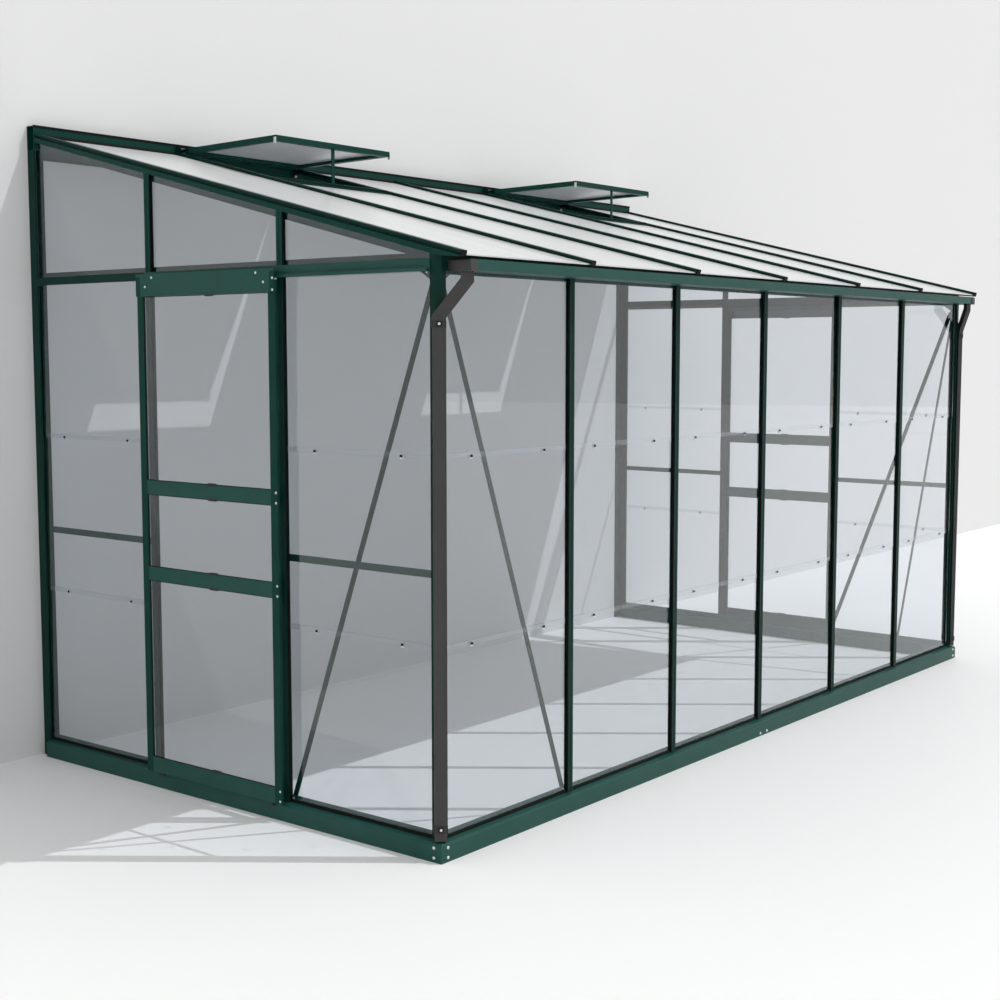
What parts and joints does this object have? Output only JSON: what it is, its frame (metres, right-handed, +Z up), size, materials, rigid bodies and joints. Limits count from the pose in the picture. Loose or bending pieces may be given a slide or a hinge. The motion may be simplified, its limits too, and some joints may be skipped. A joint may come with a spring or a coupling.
{
  "type": "lean-to glass greenhouse",
  "caption": "Lean-to greenhouse of green aluminium bars with lapped glass walls and a milky sheet roof, a sliding door in each gable, propped roof vents, an eaves gutter and corner downpipes.",
  "frame": {"origin": "middle of the footprint at ground level, halfway along the front and halfway between the gutter's front face and the house wall", "axes": "+X along the front, +Y from the front towards the house wall, +Z up"},
  "size_m": [3.8254, 1.9857, 2.245],
  "materials": {
    "green_aluminium": "satin powder coat, dark green",
    "glass": "clear horticultural glass",
    "milky_sheet": "milky twin-wall polycarbonate",
    "pipe_plastic": "dark grey moulded plastic",
    "nylon": "black moulded nylon"
  },
  "bodies": {
    "house": {"front_sill_left": "green_aluminium", "front_sill_right": "green_aluminium", "left_gable_sill": "green_aluminium", "right_gable_sill": "green_aluminium", "sill_corner_cleats": "green_aluminium", "front_sill_splice": "green_aluminium", "corner_posts": "green_aluminium", "wall_posts": "green_aluminium", "front_bars": "green_aluminium", "front_bar_caps": "green_aluminium", "left_door_posts": "green_aluminium", "right_door_posts": "green_aluminium", "gable_bar_caps": "green_aluminium", "gable_cross_rails": "green_aluminium", "gable_mid_rails": "green_aluminium", "corner_braces": "green_aluminium", "eave_gussets": "green_aluminium", "eaves_gutter": "green_aluminium", "wall_ridge_bar": "green_aluminium", "gable_rafters": "green_aluminium", "roof_bars": "green_aluminium", "roof_bar_caps": "green_aluminium", "vent_sills": "green_aluminium", "vent_end_rails": "green_aluminium", "vent_side_bars": "green_aluminium", "vent_props": "green_aluminium", "left_door_track": "green_aluminium", "right_door_track": "green_aluminium", "front_glass": "glass", "left_gable_glass": "glass", "right_gable_glass": "glass", "roof_sheets": "milky_sheet", "vent_sheets": "milky_sheet", "left_downpipe": "pipe_plastic", "right_downpipe": "pipe_plastic", "downpipe_clips": "pipe_plastic", "gutter_outlets": "pipe_plastic"},
    "left_door": {"left_door_stiles": "green_aluminium", "left_door_rails": "green_aluminium", "left_door_glass": "glass", "left_door_rollers": "nylon"},
    "right_door": {"right_door_stiles": "green_aluminium", "right_door_rails": "green_aluminium", "right_door_glass": "glass", "right_door_rollers": "nylon"}
  },
  "joints": [
    {"name": "left_door_slide", "type": "slide", "parent": "house", "child": "left_door", "axis": [0, -1, 0], "range_m": [0, 0.58]},
    {"name": "right_door_slide", "type": "slide", "parent": "house", "child": "right_door", "axis": [0, -1, 0], "range_m": [0, 0.58]}
  ]
}
